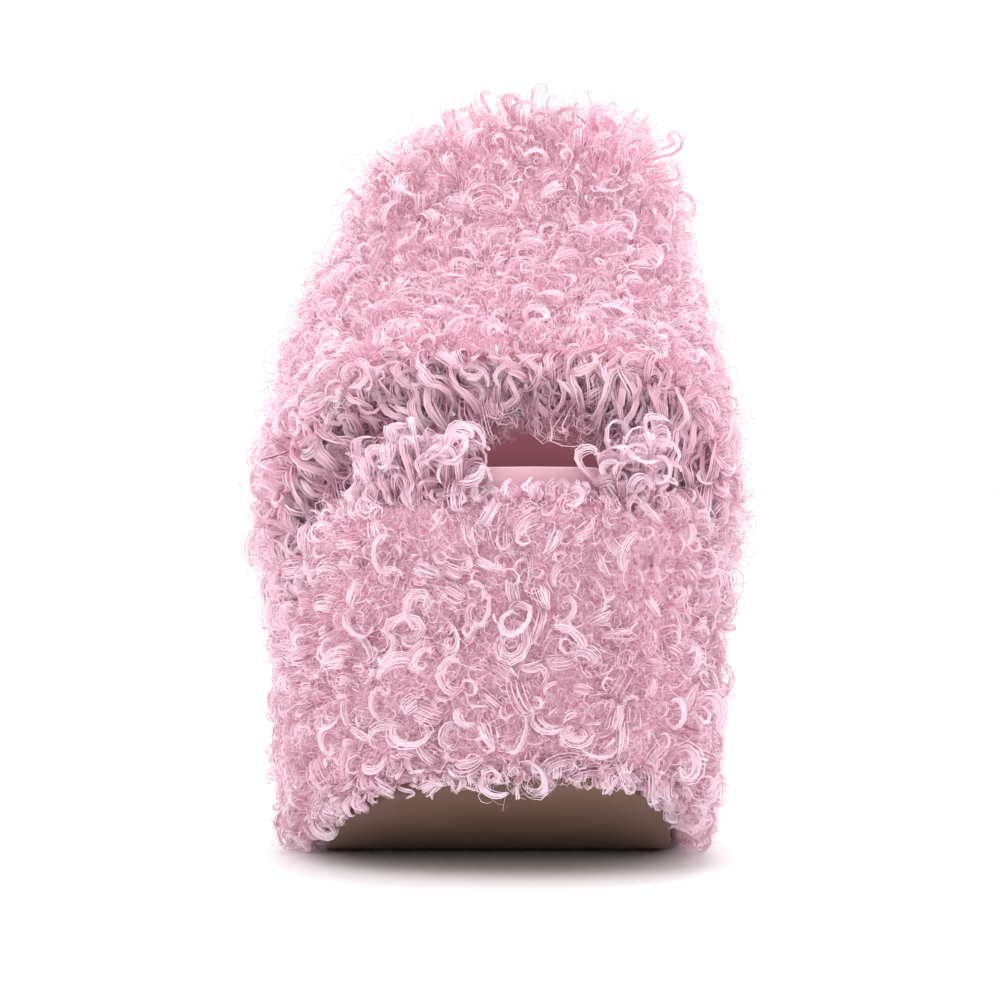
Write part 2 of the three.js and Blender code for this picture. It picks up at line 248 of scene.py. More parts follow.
rimCurls = {
    "name": "fleece_rim_curls", "count": 230, "fibres": 12, "steps": 9, "length": (5, 10),
    "curl": (60, 360), "coil": (0.3, 0.9), "halfWidth": (0.4, 1.2), "depth": 0.5, "stray": 0.8,
    "tints": (0.3, 1.0),
}
hemCurls = {
    "name": "fleece_hem_curls", "count": 260, "fibres": 12, "steps": 9, "length": (4, 9),
    "curl": (60, 360), "coil": (0.4, 1.2), "halfWidth": (0.4, 1.3), "depth": 0.5, "stray": 0.7,
    "tints": (0.2, 1.0),
}
throatCurls = {
    "name": "fleece_throat_curls", "count": 210, "fibres": 14, "steps": 8, "length": (5, 9),
    "curl": (0, 200), "coil": (0.3, 0.9), "halfWidth": (0.5, 1.3), "depth": 0.4, "stray": 0.6,
    "tints": (0.2, 0.9), "middle": (19 * mm, 0, 120 * mm),
}
# The fuzz lies low between the locks: its low tints, deeper pink, are painted shade there, with random
# tone within.
fuzz = {
    "name": "fleece_fuzz", "count": 73000, "steps": 4, "radius": (0.5, 1.7), "turns": (0.25, 0.7),
    "climb": (0.4, 3.6), "crestRise": 0.5, "leastPile": 0.02, "width": 0.95, "tints": (0.0, 0.55),
}
wisps = {
    "name": "fleece_wisps", "count": 8500, "steps": 6, "radius": (1.4, 3.6), "turns": (0.4, 1.1),
    "climb": (3.5, 6.5), "crestRise": 0.6, "leastPile": 0.6, "width": 0.7, "tints": (0.3, 0.9),
}
fleeceNodes = ["wrap_toe_strip", "wrap_heel_strip", "vamp_fleece"]
coreNodes = [
    "platform_lower_block",
    "platform_upper_block",
    "vamp_foam",
    "vamp_lining",
    "toe_edge_tape",
    "throat_edge_tape",
    "outsole",
]


def copyOfNode(nodeName, pieceName):
    mesh = nodes[nodeName].data.copy()
    mesh.name = pieceName
    mesh.materials.clear()
    piece = bpy.data.objects.new(pieceName, mesh)
    bpy.context.scene.collection.objects.link(piece)
    makeActive(piece)
    bpy.ops.object.mode_set(mode="EDIT")
    bpy.ops.mesh.select_all(action="SELECT")
    bpy.ops.mesh.remove_doubles(threshold=0.01 * mm)
    bpy.ops.object.mode_set(mode="OBJECT")
    return piece


def splitLongEdges(piece, longest):
    shaped = bmesh.new()
    shaped.from_mesh(piece.data)
    for _ in range(12):
        tooLong = [edge for edge in shaped.edges if edge.calc_length() > longest]
        if not tooLong:
            break
        bmesh.ops.subdivide_edges(shaped, edges=tooLong, cuts=1)
        bmesh.ops.triangulate(shaped, faces=[face for face in shaped.faces if len(face.verts) > 3])
    shaped.to_mesh(piece.data)
    shaped.free()


def treeOf(pieces):
    points, faces = [], []
    for piece in pieces:
        start = len(points)
        points += [vertex.co.copy() for vertex in piece.data.vertices]
        faces += [[start + k for k in face.vertices] for face in piece.data.polygons]
    return BVHTree.FromPolygons(points, faces)


# The dense wool that the locks grow from: the strip's own solid, drawn in towards its backing.
def addUndercoat(nodeName, core):
    piece = copyOfNode(nodeName, nodeName + "_undercoat")
    splitLongEdges(piece, fleece["facetSize"])
    pile = piece.vertex_groups.new(name="pile")
    outward = []
    for vertex in piece.data.vertices:
        nearest, _, _, distance = core.find_nearest(vertex.co)
        weight = min(max((distance - fleece["backingDepth"]) / fleece["pileFadeIn"], 0), 1)
        drawnIn = (1 - fleece["undercoatShare"]) * (1 - fleece["crestFill"] * crestAt(vertex.co.z))
        share = 1 - weight * drawnIn
        outward.append((vertex.co - nearest).to_tuple())
        vertex.co = nearest.lerp(vertex.co, share)
        pile.add([vertex.index], weight, "REPLACE")
    applyModifier(piece, "SMOOTH", factor=0.5, iterations=6, vertex_group="pile")
    lumps = bpy.data.textures.new("woolLumps", "CLOUDS")
    lumps.noise_scale = fleece["lumpSize"]
    applyModifier(
        piece, "DISPLACE", texture=lumps, texture_coords="LOCAL",
        strength=2 * fleece["lumpHeight"], mid_level=0.5, vertex_group="pile",
    )
    makeActive(piece)
    bpy.ops.object.shade_smooth()
    piece.data.materials.append(woolMaterial)
    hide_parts(nodeName)
    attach(piece, "root")
    combed[piece.name] = combedNormals(piece, np.array(outward) * [1, 1, 0])
    return piece


# 0 below the vamp's crest and 1 at its top.
def crestAt(height):
    return np.clip((height - fleece["crestFrom"]) / fleece["crestBand"], 0, 1)


# Which way the wool points at each vertex: along the normal, but outwards on the wrap's rim.
def combedNormals(piece, outward):
    normals = np.array([vertex.normal for vertex in piece.data.vertices])
    if piece.name.startswith("wrap"):
        upward = np.clip(normals[:, 2:], 0, 1)
        normals = normals * [1, 1, 0.35] + unit(outward) * upward
    return unit(normals)


def pileWeights(piece):
    group = piece.vertex_groups["pile"].index
    weights = np.zeros(len(piece.data.vertices))
    for vertex in piece.data.vertices:
        weights[vertex.index] = sum(entry.weight for entry in vertex.groups if entry.group == group)
    return weights


# Random points of the pile's face, with the way the wool points there. With a spacing, points
# nearer to each other than that are left out.
def scatterRoots(pieces, count, spacing=0.0, leastPile=0.6):
    corners, directions = [], []
    for piece in pieces:
        mesh = piece.data
        points = np.array([vertex.co[:] for vertex in mesh.vertices])
        mesh.calc_loop_triangles()
        triangles = np.array([triangle.vertices for triangle in mesh.loop_triangles])
        triangles = triangles[pileWeights(piece)[triangles].min(axis=1) > leastPile]
        corners.append(points[triangles])
        directions.append(combed[piece.name][triangles])
    corners = np.concatenate(corners)
    directions = np.concatenate(directions)
    a, b, c = (corners[:, k] for k in range(3))
    area = np.linalg.norm(np.cross(b - a, c - a), axis=1) / 2
    picked = draws.choice(len(area), size=count, p=area / area.sum())
    u, v = draws.random((2, count))
    outside = u + v > 1
    u, v = np.where(outside, 1 - u, u), np.where(outside, 1 - v, v)
    blend = np.stack([1 - u - v, u, v], axis=1)[:, :, None]
    roots = (corners[picked] * blend).sum(axis=1)
    ups = unit((directions[picked] * blend).sum(axis=1))
    if spacing:
        kept = thinOut(roots, spacing)
        roots, ups = roots[kept], ups[kept]
    return roots, ups


def thinOut(points, spacing):
    cells, kept = {}, []
    reach = spacing * spacing
    for i, point in enumerate(points):
        cell = tuple(np.floor(point / spacing).astype(int))
        near = (
            cells.get((cell[0] + x, cell[1] + y, cell[2] + z), ())
            for x in (-1, 0, 1) for y in (-1, 0, 1) for z in (-1, 0, 1)
        )
        if all(((point - other) ** 2).sum() > reach for group in near for other in group):
            cells.setdefault(cell, []).append(point)
            kept.append(i)
    return np.array(kept)


def unit(vectors):
    return vectors / np.maximum(np.linalg.norm(vectors, axis=-1, keepdims=True), 1e-12)


def randomDirections(count):
    return unit(draws.normal(size=(count, 3)))


# The way the wool lies at each root: swirls shared by neighbours, with a lean downwards.
def flowAt(roots, ups):
    flow = np.array([noise_vector(Vector(root) / fleece["flowSize"])[:] for root in roots])
    flow = unit(flow) + 0.7 * randomDirections(len(roots)) - [0, 0, fleece["hangBias"]]
    return unit(flow - ups * (flow * ups).sum(axis=1, keepdims=True))


# Centre lines of curls, as arrays (curl, step, 3). Each climbs from its root and winds round an
# axis that leans over from the way up. Also gives the direction of each curl's width.
def curlPaths(roots, ups, shape, flatten=1.0, lean=(0, 95)):
    count, steps = len(roots), shape["steps"]
    radius = mm * draws.uniform(*shape["radius"], (count, 1, 1))
    turns = draws.uniform(*shape["turns"], (count, 1, 1))
    puff = np.array([noise(Vector(root) / fleece["puffSize"]) for root in roots])[:, None, None]
    crest = crestAt(roots[:, 2])[:, None, None]
    climb = mm * draws.uniform(*shape["climb"], (count, 1, 1))
    climb = climb * (1 + fleece["puffShare"] * puff + shape["crestRise"] * crest)
    lean = np.radians(draws.uniform(*lean, (count, 1)))
    flow = flowAt(roots, ups)
    sideways = np.cross(flow, ups) * draws.choice([-1, 1], size=(count, 1))
    axis = unit(ups * np.cos(lean) + sideways * np.sin(lean))
    outward = ups - axis * (ups * axis).sum(axis=1, keepdims=True)
    outward = unit(outward + 0.2 * randomDirections(count))
    first = unit(outward - axis * (outward * axis).sum(axis=1, keepdims=True))
    second = np.cross(axis, first)
    second *= np.where((second * flow).sum(axis=1, keepdims=True) < 0, -1, 1)
    s = np.linspace(0, 1, steps)[None, :, None]
    angle = math.pi + 2 * math.pi * turns * s
    size = radius * (1 - 0.4 * s) * np.minimum(1, 0.4 + 2 * s)
    low = 1 - (1 - flatten) * np.sin(lean)[:, :, None]
    ring = np.cos(angle) * first[:, None] * low + np.sin(angle) * second[:, None]
    rise = ups[:, None] * climb * (1 - (1 - np.minimum(1, 2.2 * s)) ** 2)
    drift = (axis[:, None] * 0.5 + second[:, None] * 0.5) * radius * s * s
    paths = roots[:, None] + ring * size - ring[:, :1] * size[:, :1] + rise + drift
    along = unit(np.gradient(paths, axis=1))
    radial = unit(np.cross(axis[:, None], along))
    wide = unit(axis[:, None] * np.sin(lean)[:, :, None] + radial * np.cos(lean)[:, :, None])
    return paths, unit(wide - along * (wide * along).sum(axis=2, keepdims=True))


def newFibrePiece(name, points, quads, uv):
    mesh = bpy.data.meshes.new(name)
    mesh.vertices.add(len(points))
    mesh.vertices.foreach_set("co", points.ravel())
    mesh.loops.add(quads.size)
    mesh.loops.foreach_set("vertex_index", quads.ravel())
    mesh.polygons.add(len(quads))
    mesh.polygons.foreach_set("loop_start", np.arange(0, quads.size, 4))
    mesh.polygons.foreach_set("use_smooth", np.ones(len(quads), bool))
    mesh.update()
    mesh.uv_layers.new(name="OFBake").uv.foreach_set("vector", uv[quads.ravel()].ravel())
    mesh.materials.append(fibreMaterial)
    piece = bpy.data.objects.new(mesh.name, mesh)
    bpy.context.scene.collection.objects.link(piece)
    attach(piece, "root")


# Strips of quads from a grid (strip, step, across, 3), split from toe to heel into pieces. In the
# UV map a strip's tint runs across, with its own width as a thin band, and root to tip runs up.
def addStrips(name, grid, tints, paintedHazeShare):
    count, steps, across = grid.shape[:3]
    perPiece = fleece["pieceTriangles"] // (2 * (steps - 1) * (across - 1))
    order = np.argsort(grid[:, 0, 0, 1])
    fromToe = grid[:, 0, 0, 1] - cadBox[0][1]
    behindToe = np.clip((fromToe - fleece["toeFace"]) / fleece["toeFade"], 0, 1)
    # Painted haze: behind the toe's face the tints are drawn towards one pale tint, for washed-out
    # light on the sides and top.
    tints = tints + paintedHazeShare * behindToe * (fleece["paintedHazeTint"] - tints)
    for part, start in enumerate(range(0, count, perPiece)):
        chosen = order[start:start + perPiece]
        total = len(chosen)
        points = grid[chosen].reshape(-1, 3)
        points[:, 2] = np.maximum(points[:, 2], fleece["floorClearance"])
        strip, step, side = np.meshgrid(
            np.arange(total), np.arange(steps - 1), np.arange(across - 1), indexing="ij"
        )
        base = (strip * steps + step) * across + side
        quads = np.stack([base, base + 1, base + across + 1, base + across], axis=-1).reshape(-1, 4)
        u = 0.03 + 0.9 * tints[chosen][:, None, None] + np.linspace(0, 0.04, across)[None, None]
        v = np.linspace(0.02, 0.98, steps)[None, :, None]
        shape = (total, steps, across)
        uv = np.stack([np.broadcast_to(u, shape), np.broadcast_to(v, shape)], axis=-1)
        newFibrePiece(f"{name}_{part + 1}", points, quads, uv.reshape(-1, 2))


def ribbonGrid(paths, facing, width):
    along = unit(np.gradient(paths, axis=1))
    side = unit(np.cross(along, facing[:, None]))
    s = np.linspace(0, 1, paths.shape[1])[None, :, None]
    half = 0.5 * width[:, None, None] * (0.2 + 0.8 * np.sin(math.pi * (0.3 + 0.66 * s)))
    return np.stack([paths - side * half, paths + side * half], axis=2)


# Bundles of fibres that follow one path side by side, dense along its middle and narrow at its tip.
# Those on the pile's face, whose ups are given, hold together less behind the toe and get the painted
# haze there.
def addBundles(shape, paths, wide, ups=None):
    count, steps, fibres = len(paths), shape["steps"], shape["fibres"]
    each = (count, fibres, 1, 1)
    s = np.linspace(0, 1, steps)[None, None, :, None]
    along = unit(np.gradient(paths, axis=1))
    wide = unit(wide - along * (wide * along).sum(axis=2, keepdims=True))
    face = np.cross(wide, along)
    half = mm * draws.uniform(*shape["halfWidth"], (count, 1, 1, 1))
    x = np.clip(draws.normal(0, 0.55, each), -1.5, 1.5)
    lift = (1 - 0.3 * x * x) * shape["depth"] * draws.random(each)
    loose, paintedHazeShare = np.zeros(each[:1] + (1, 1, 1)), 0
    if ups is not None:
        loose[:, 0, 0, 0] = fleece["looseness"] * np.clip(1.25 + 1.5 * ups[:, 1], 0, 1)
        paintedHazeShare = fleece["paintedHazeShare"]
    spread = half * (0.2 + 0.8 * np.sin(math.pi * (0.1 + 0.84 * s))) * (1 + 0.45 * loose)
    waveHeight = (0.22 + 0.55 * loose) * mm
    wave = waveHeight * s * np.sin(draws.uniform(0, 6.3, (count, fibres, 1, 3)) + 7 * s)
    bundle = paths[:, None] + (wide[:, None] * x + face[:, None] * lift) * spread + wave
    ends = along[:, None] * draws.uniform(-1.0, 1.0, each) * mm * s ** 2
    bundle = (bundle + ends).reshape(count * fibres, steps, 3)
    facing = np.repeat(face.mean(axis=1), fibres, axis=0)
    facing = unit(facing + 0.28 * randomDirections(count * fibres))
    width = fleece["fibreWidth"] * draws.uniform(0.8, 1.4, count * fibres)
    lockTints = np.repeat(draws.uniform(*shape["tints"], count), fibres)
    tints = np.clip(lockTints + draws.normal(0, 0.08, count * fibres), 0, 1)
    addStrips(shape["name"], ribbonGrid(bundle, facing, width), tints, paintedHazeShare)
    print(shape["name"], count)


def addLocks(undercoats, shape):
    roots, ups = scatterRoots(undercoats, shape["tries"], shape["spacing"] * mm)
    paths, wide = curlPaths(roots, ups, shape, shape["flatten"], shape["lean"])
    addBundles(shape, paths, wide, ups)


# Points picked on an undercoat where test(place, normal) holds.
def rimRoots(piece, count, test):
    places = np.array([v.co[:] for v in piece.data.vertices if test(v.co, v.normal)])
    return places[draws.integers(len(places), size=count)] + draws.normal(0, 0.6 * mm, (count, 3))


# Locks that leave their roots forwards, turn to hang along fall and curl up at their tips.
def hangPaths(roots, fall, shape, reach=1.0, start=(0, -1, 0)):
    count, steps = len(roots), shape["steps"]
    forward = unit(np.array(start) + 0.4 * randomDirections(count))
    fall = unit(fall - forward * (fall * forward).sum(axis=1, keepdims=True))
    length = mm * draws.uniform(*shape["length"], (count, 1, 1)) * reach
    curl = np.radians(draws.uniform(*shape["curl"], (count, 1, 1)))
    s = np.linspace(0, 1, steps)[None, :, None]
    angle = math.pi / 2 * np.minimum(1, s / 0.3) + curl * np.clip((s - 0.45) / 0.55, 0, 1) ** 1.5
    heading = forward[:, None] * np.cos(angle) + fall[:, None] * np.sin(angle)
    paths = roots[:, None] + np.cumsum(heading, axis=1) * length / steps
    sideways = np.cross(forward, fall)[:, None]
    coil = mm * draws.uniform(*shape["coil"], (count, 1, 1)) * np.minimum(1, 2.5 * s)
    phase = draws.uniform(0, 6.3, (count, 1, 1))
    turned = phase + 2 * math.pi * draws.uniform(0.8, 1.6, (count, 1, 1)) * s
    paths += coil * sideways * (np.sin(turned) - np.sin(phase))
    paths += coil * np.cross(heading, sideways) * (np.cos(turned) - np.cos(phase))
    wide = unit(sideways + 0.6 * randomDirections(count)[:, None])
    return paths, np.broadcast_to(wide, paths.shape)


opening = {
    "middle": np.array([5 * mm, 0, 100 * mm]),
    "gapHalf": 13 * mm,  # more wool hangs over this part, where the inside shows
    "middleReach": 0.75,  # locks are shorter at the middle, and grow by 1 over the next length
    "growth": 24 * mm,
    "reachLimits": (0.95, 1.3),
    "leftEnd": (-33 * mm, -7 * mm),
    "rightEnd": (26 * mm, 38 * mm),
}


def besideMiddle(x):
    return abs(x - opening["middle"][0])


# Which way the wool hangs: down and towards the opening's middle.
def fallAt(roots, shape):
    inward = unit((opening["middle"] - roots) * [1, 0, 1])
    return unit(0.8 * inward - [0, 0, 1.0] + shape["stray"] * randomDirections(len(roots)))


# How much of its own length each lock is given.
def reachAt(roots):
    reach = opening["middleReach"] + besideMiddle(roots[:, 0]) / opening["growth"]
    return np.clip(reach, *opening["reachLimits"])[:, None, None]


# The vamp's front edge hides its binding under wool that hangs into the toe opening.
def addFringe(vampCoat):
    def onFrontRim(place, normal):
        return normal.y < -0.5 and place.y < -0.07

    def overGap(place, normal):
        return onFrontRim(place, normal) and besideMiddle(place.x) < opening["gapHalf"]

    roots = rimRoots(vampCoat, fringe["count"], onFrontRim)
    addBundles(fringe, *hangPaths(roots, fallAt(roots, fringe), fringe, reachAt(roots)))

    roots = np.concatenate([
        rimRoots(vampCoat, frizz["count"], onFrontRim),
        rimRoots(vampCoat, frizz["overGap"], overGap),
    ])
    paths, wide = curlPaths(roots, fallAt(roots, frizz), frizz)
    paths = roots[:, None] + (paths - roots[:, None]) * reachAt(roots)
    addBundles(frizz, paths, wide)

    roots = rimRoots(vampCoat, browCurls["count"], onFrontRim)
    ups = strayFrom((0, -0.7, -0.5), browCurls, len(roots))
    addBundles(browCurls, *curlPaths(roots, ups, browCurls))


def strayFrom(direction, shape, count):
    return unit(np.array(direction) + shape["stray"] * randomDirections(count))


# Curls on the toe strip's two edges, and upright tufts at the two ends of the opening.
def addToeCurls(toeCoat):
    def onToeRim(place, normal):
        return normal.z > 0.4 and place.y < -0.07 and place.z > 0.05

    def onToeHem(place, normal):
        return -0.9 < normal.z < -0.25 and normal.y < -0.2 and place.y < -0.09 and place.z < 0.04

    def besideOpening(place, normal):
        ends = (opening["leftEnd"], opening["rightEnd"])
        atEnd = any(least < place.x < most for least, most in ends)
        return atEnd and normal.z > 0.5 and place.y < -0.09 and place.z > 0.05

    for shape, test, way in ((rimCurls, onToeRim, (0, 0, 1)), (hemCurls, onToeHem, (0, -0.2, -1))):
        roots = rimRoots(toeCoat, shape["count"], test)
        addBundles(shape, *hangPaths(roots, strayFrom(way, shape, len(roots)), shape))

    roots = rimRoots(toeCoat, tufts["count"], besideOpening)
    ups = strayFrom((0, -0.2, 1), tufts, len(roots))
    addBundles(tufts, *curlPaths(roots, ups, tufts))


# Short curls over the joint between the vamp's pile and its throat binding.
def addThroatCurls(vampCoat):
    def onThroatRim(place, normal):
        return normal.y > 0.5 and place.y > -0.01 and place.z > 0.1

    roots = rimRoots(vampCoat, throatCurls["count"], onThroatRim)
    outward = unit((roots - throatCurls["middle"]) * [1, 0, 1])
    fall = unit(0.2 * outward + throatCurls["stray"] * randomDirections(len(roots)))
    addBundles(throatCurls, *hangPaths(roots, fall, throatCurls, start=(0, 0.8, 0.3)))


def addFuzz(undercoats, shape):
    roots, ups = scatterRoots(undercoats, shape["count"], leastPile=shape["leastPile"])
    paths, _ = curlPaths(roots, ups, shape)
    facing = unit(ups + 0.7 * randomDirections(len(roots)))
    widths = fleece["fibreWidth"] * shape["width"] * draws.uniform(0.75, 1.25, len(roots))
    tints = draws.uniform(*shape["tints"], len(roots))
    addStrips(shape["name"], ribbonGrid(paths, facing, widths), tints, fleece["paintedHazeShare"])
    print(shape["name"], len(roots))


# Ramps of the wool's colours: from root to tip on a fibre, and over the undercoat's noise.
# Darker at a fibre's root and deep pink over the undercoat are painted shade deep in the pile, and
# paler at a fibre's tip is painted light; the undercoat's noise is random tone.
woolColours = {
    "darkFibre": [(0, (0.78, 0.33, 0.45)), (0.4, (0.89, 0.55, 0.66)), (1, (0.93, 0.69, 0.78))],
    "paleFibre": [(0, (0.86, 0.52, 0.64)), (0.3, (0.92, 0.7, 0.79)), (1, (0.93, 0.8, 0.88))],
    "undercoat": [(0.38, (0.62, 0.27, 0.36)), (0.5, (0.82, 0.48, 0.58)), (0.62, (0.9, 0.63, 0.72))],
    "sheen": (0.95, 0.62, 0.73, 1),
}


# A fibre's tint runs across the UV map and its length runs up it.
def makeFibreMaterial():
    material, tree, shader = newMaterial("fleeceFibre")
    uv = addNode(tree, "ShaderNodeUVMap", uv_map="OFBake")
    split = addNode(tree, "ShaderNodeSeparateXYZ")
    tree.links.new(uv.outputs["UV"], split.inputs["Vector"])
    dark = addRamp(tree, split.outputs["Y"], woolColours["darkFibre"])
    pale = addRamp(tree, split.outputs["Y"], woolColours["paleFibre"])
    colour = mixColours(tree, "MIX", split.outputs["X"], dark, pale)
    tree.links.new(colour, shader.inputs["Base Color"])
    shader.inputs["Roughness"].default_value = 0.7
    shader.inputs["Specular IOR Level"].default_value = 0.12
    shader.inputs["Sheen Weight"].default_value = 0.2
    shader.inputs["Sheen Roughness"].default_value = 0.5
    shader.inputs["Sheen Tint"].default_value = woolColours["sheen"]
    return material


def makeWoolMaterial():
    material, tree, shader = newMaterial("woolUndercoat")
    place = addNode(tree, "ShaderNodeTexCoord")
    grain = addNode(tree, "ShaderNodeTexNoise", scale=900.0, detail=6.0, roughness=0.75)
    tree.links.new(place.outputs["Object"], grain.inputs["Vector"])
    colour = addRamp(tree, grain.outputs["Fac"], woolColours["undercoat"])
    tree.links.new(colour, shader.inputs["Base Color"])
    shader.inputs["Roughness"].default_value = 0.95
    bump = addNode(tree, "ShaderNodeBump", strength=0.8, distance=0.001)
    tree.links.new(grain.outputs["Fac"], bump.inputs["Height"])
    tree.links.new(bump.outputs["Normal"], shader.inputs["Normal"])
    return material


# Shared shader groups: each gives a shade to multiply the colour by, and a height for relief.
def newGroup(name, inputs):
    group = bpy.data.node_groups.new(name, "ShaderNodeTree")
    for label, value in inputs.items():
        socket = group.interface.new_socket(label, in_out="INPUT", socket_type="NodeSocketFloat")
        socket.default_value = value
    group.interface.new_socket("Shade", in_out="OUTPUT", socket_type="NodeSocketColor")
    group.interface.new_socket("Height", in_out="OUTPUT", socket_type="NodeSocketFloat")
    return group, group.nodes.new("NodeGroupInput"), group.nodes.new("NodeGroupOutput")


def makeGrainGroup():
    group, inward, outward = newGroup("fineGrain", {"Scale": 900.0, "Darkest": 0.8})
    place = addNode(group, "ShaderNodeTexCoord")
    grain = addNode(group, "ShaderNodeTexNoise", detail=5.0, roughness=0.65)
    patches = addNode(group, "ShaderNodeTexNoise", scale=45.0, detail=2.0)
    for texture in (grain, patches):
        group.links.new(place.outputs["Object"], texture.inputs["Vector"])
    group.links.new(inward.outputs["Scale"], grain.inputs["Scale"])
    both = addNode(group, "ShaderNodeMath", operation="ADD")
    group.links.new(grain.outputs["Fac"], both.inputs[0])
    group.links.new(patches.outputs["Fac"], both.inputs[1])
    shade = addNode(group, "ShaderNodeMapRange")
    shade.inputs["From Min"].default_value = 0.75
    shade.inputs["From Max"].default_value = 1.15
    group.links.new(both.outputs[0], shade.inputs["Value"])
    group.links.new(inward.outputs["Darkest"], shade.inputs["To Min"])
    group.links.new(shade.outputs["Result"], outward.inputs["Shade"])
    group.links.new(grain.outputs["Fac"], outward.inputs["Height"])
    return group


def makeWeaveGroup():
    group, inward, outward = newGroup("clothWeave", {"Scale": 2200.0, "Darkest": 0.7})
    place = addNode(group, "ShaderNodeTexCoord")
    heights = []
    for direction in ("X", "Y", "Z"):
        threads = addNode(group, "ShaderNodeTexWave", bands_direction=direction)
        threads.inputs["Distortion"].default_value = 0.6
        threads.inputs["Detail"].default_value = 1.0
        group.links.new(place.outputs["Object"], threads.inputs["Vector"])
        group.links.new(inward.outputs["Scale"], threads.inputs["Scale"])
        heights.append(threads.outputs["Fac"])
    height = heights[0]
    for other in heights[1:]:
        crossing = addNode(group, "ShaderNodeMath", operation="MAXIMUM")
        group.links.new(height, crossing.inputs[0])
        group.links.new(other, crossing.inputs[1])
        height = crossing.outputs[0]
    shade = addNode(group, "ShaderNodeMapRange")
    group.links.new(height, shade.inputs["Value"])
    group.links.new(inward.outputs["Darkest"], shade.inputs["To Min"])
    group.links.new(shade.outputs["Result"], outward.inputs["Shade"])
    group.links.new(height, outward.inputs["Height"])
    return group


finishes = {
    "outsoleRubber": {"group": "fineGrain", "colour": (0.19, 0.11, 0.078), "rough": 0.5, "scale": 1500,
                      "darkest": 0.8, "relief": 0.15, "sheen": 0.0},
    "paleMicrosuede": {"group": "fineGrain", "colour": (0.78, 0.47, 0.55), "rough": 0.85, "scale": 2600,
                       "darkest": 0.86, "relief": 0.4, "sheen": 0.4},
    # The footbed cover's dark wine colour is painted shade inside the toe tunnel.
    "paintedShadeMicrosuede": {"group": "fineGrain", "colour": (0.2, 0.05, 0.075), "rough": 0.95, "scale": 2600,
                       "darkest": 0.82, "relief": 0.4, "sheen": 0.05},
    # The lining's dark rose colour is painted shade inside the vamp's tunnel.
    "paintedShadeLining": {"group": "clothWeave", "colour": (0.3, 0.1, 0.14), "rough": 0.9, "scale": 1400,
                    "darkest": 0.72, "relief": 0.5, "sheen": 0.1},
    "foamCells": {"group": "fineGrain", "colour": (0.86, 0.83, 0.78), "rough": 0.95, "scale": 1100,
                  "darkest": 0.84, "relief": 0.6, "sheen": 0.0},
    "fibreboard": {"group": "fineGrain", "colour": (0.48, 0.36, 0.2), "rough": 0.9, "scale": 700,
                   "darkest": 0.7, "relief": 0.3, "sheen": 0.0},
    "edgeTape": {"group": "clothWeave", "colour": (0.9, 0.88, 0.85), "rough": 0.85, "scale": 1700,
                 "darkest": 0.8, "relief": 0.4, "sheen": 0.1},
    "sewingThread": {"group": "clothWeave", "colour": (0.5, 0.22, 0.28), "rough": 0.6, "scale": 2600,
                     "darkest": 0.75, "relief": 0.5, "sheen": 0.2},
}


def makeFinish(name):
    facts = finishes[name]
    material, tree, shader = newMaterial(name)
    effect = addNode(tree, "ShaderNodeGroup")
    effect.node_tree = groups[facts["group"]]
    effect.inputs["Scale"].default_value = facts["scale"]
    effect.inputs["Darkest"].default_value = facts["darkest"]
    colour = mixColours(tree, "MULTIPLY", 1.0, facts["colour"], effect.outputs["Shade"])
    tree.links.new(colour, shader.inputs["Base Color"])
    shader.inputs["Roughness"].default_value = facts["rough"]
    shader.inputs["Sheen Weight"].default_value = facts["sheen"]
    shader.inputs["Specular IOR Level"].default_value = 0.6 * (1 - facts["rough"])
    bump = addNode(tree, "ShaderNodeBump", strength=facts["relief"], distance=0.0003)
    tree.links.new(effect.outputs["Height"], bump.inputs["Height"])
    tree.links.new(bump.outputs["Normal"], shader.inputs["Normal"])
    return material


nodeFinishes = {
    "outsole": "outsoleRubber",
    "insole_board": "fibreboard",
    "sock_cover": "paintedShadeMicrosuede",
    "footbed_rand": "paleMicrosuede",
    "toe_edge_binding": "paleMicrosuede",
    "throat_edge_binding": "paleMicrosuede",
    "vamp_lining": "paintedShadeLining",
    "toe_edge_tape": "edgeTape",
    "throat_edge_tape": "edgeTape",
}


# ---- footbed, rand, outsole, bindings and lining

def copyAs(nodeName, pieceName, finish):
    piece = copyOfNode(nodeName, pieceName)
    piece.data.materials.append(materials[finish])
    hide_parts(nodeName)
    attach(piece, "root")
    return piece


def roundEdges(piece, width, angle=35):
    limit = math.radians(angle)
    applyModifier(piece, "BEVEL", width=width, segments=3, limit_method="ANGLE", angle_limit=limit)
    makeActive(piece)
    bpy.ops.object.shade_smooth_by_angle(angle=math.radians(angle + 10))


pad = {
    "voxelSize": 2.6 * mm,
    "pressure": 4.0,
    "frames": 20,
    "riseLimit": 1.5 * mm,
    "fill": 0.8,
    "stitchInset": 4.5 * mm,
}


